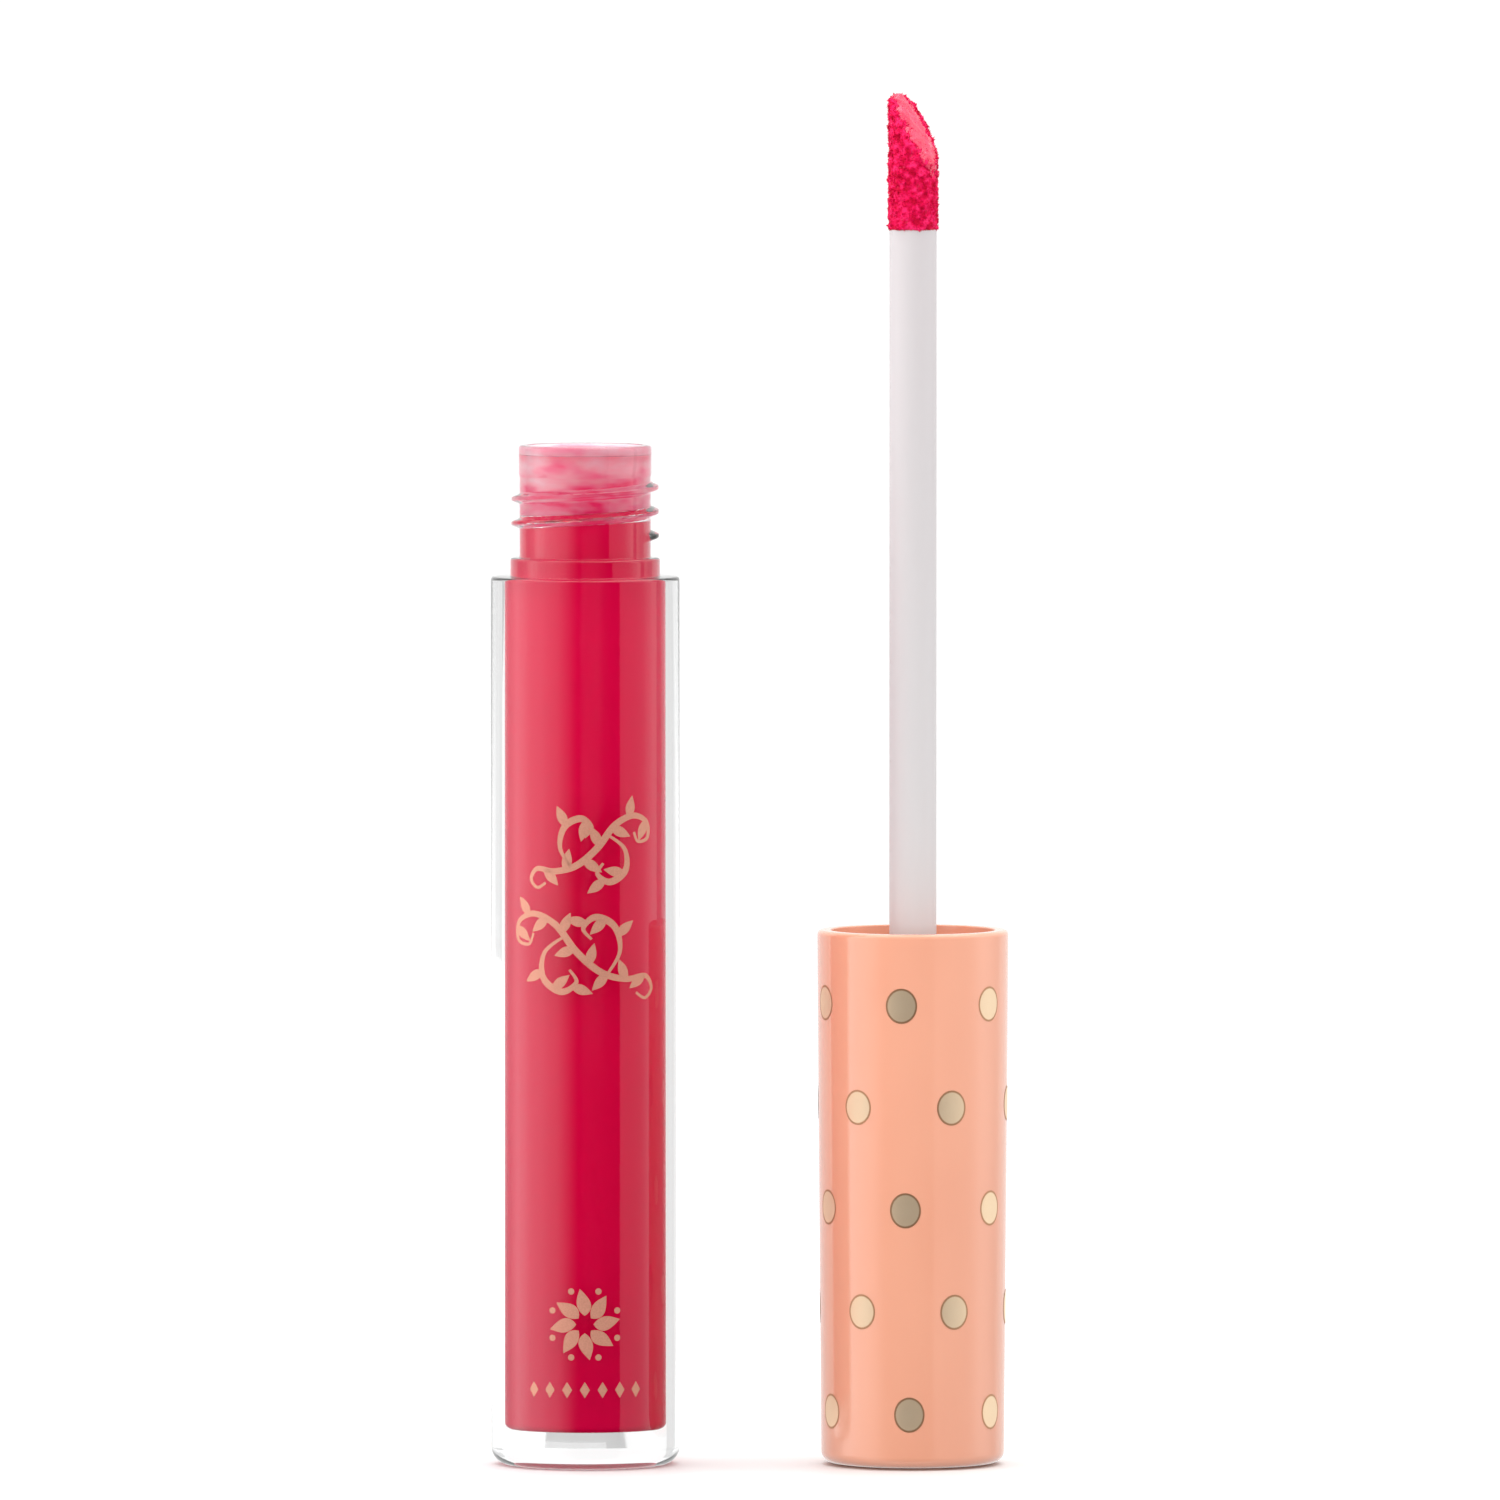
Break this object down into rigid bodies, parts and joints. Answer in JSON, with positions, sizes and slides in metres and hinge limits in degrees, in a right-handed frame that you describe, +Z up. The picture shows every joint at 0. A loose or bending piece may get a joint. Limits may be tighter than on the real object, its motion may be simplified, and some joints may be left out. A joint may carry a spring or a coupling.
{
  "type": "lip gloss tube",
  "caption": "Open lip gloss tube: a clear thick-walled bottle with a threaded neck, and its screw cap standing beside it with the flocked wand up.",
  "frame": {"origin": "centre of the bottle's flat base", "axes": "+Z up along the bottle; +X towards the cap, which stands beside the bottle; -Y is the front"},
  "size_m": [0.0449, 0.0166, 0.1192],
  "materials": {
    "clear_plastic": "clear polished injection-moulded PETG",
    "wiper_plastic": "translucent natural LDPE, tinted by the gloss",
    "gloss": "wet, pigmented lip gloss",
    "cap_plastic": "glossy peach, with hot-stamped gold foil dots",
    "inner_cap_plastic": "satin peach PP",
    "gasket_foam": "matte white PE foam",
    "stem_plastic": "translucent natural PP, satin",
    "core_rubber": "soft elastomer",
    "flock": "short flock fibres soaked with gloss"
  },
  "bodies": {
    "bottle": {"bottle": "clear_plastic", "wiper": "wiper_plastic", "gloss_fill": "gloss"},
    "swing_stage": {"gloss_bead": "gloss"},
    "insert_stage": {"gloss_film": "gloss"},
    "screw_stage": {"cap_gasket": "gasket_foam"},
    "cap": {"cap_shell": "cap_plastic", "inner_cap": "inner_cap_plastic", "wand_stem": "stem_plastic", "applicator_core": "core_rubber", "applicator_flock": "flock"}
  },
  "joints": [
    {"name": "cap_turn_over", "type": "hinge", "parent": "bottle", "child": "swing_stage", "pos_m": [0.01422, 0, 0.10795], "axis": [0, -1, 0], "range_deg": [0, 180]},
    {"name": "wand_insert", "type": "slide", "parent": "swing_stage", "child": "insert_stage", "axis": [0, 0, 1], "range_m": [0, 0.08766], "deforming": ["gloss_fill", "gloss_film", "gloss_bead"]},
    {"name": "cap_advance", "type": "slide", "parent": "insert_stage", "child": "screw_stage", "axis": [0, 0, 1], "range_m": [0, 0.00424]},
    {"name": "cap_screw", "type": "hinge", "parent": "screw_stage", "child": "cap", "pos_m": [0.02844, 0, 0.0465], "axis": [0, 0, 1], "range_deg": [0, 720]}
  ],
  "couplings": [
    {"joint": "cap_advance", "follows": "cap_screw", "m_per_rad": 0.00033741}
  ]
}
